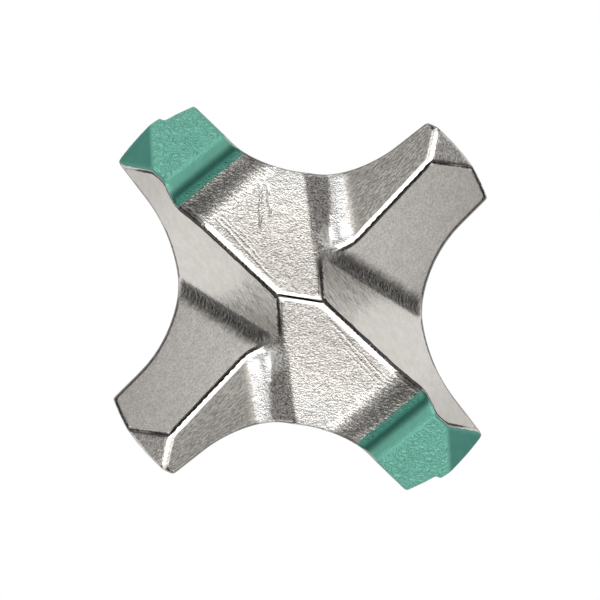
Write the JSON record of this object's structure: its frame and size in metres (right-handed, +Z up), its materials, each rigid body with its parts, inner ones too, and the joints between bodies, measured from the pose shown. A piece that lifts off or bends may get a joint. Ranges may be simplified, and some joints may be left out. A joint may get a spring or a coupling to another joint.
{
  "type": "masonry drill bit",
  "caption": "Masonry drill bit for a rotary hammer: one-piece X-shaped carbide head brazed to a fluted steel body with a slotted round shank.",
  "frame": {"origin": "centre of the base of the bit as it lies on its side", "axes": "+Y along the bit from the carbide tip to the shank, +Z up from the surface that it lies on"},
  "size_m": [0.0104, 0.16, 0.01],
  "materials": {
    "carbide": "as-sintered grey carbide with ground faces, green wear marks on the two main arms",
    "braze": "thin line of filler metal",
    "steel": "shot-blasted flutes and a turned, bright shank"
  },
  "bodies": {
    "root": {"carbide_head": "carbide", "braze_joint": "braze", "drill_body": "steel"}
  },
  "joints": []
}
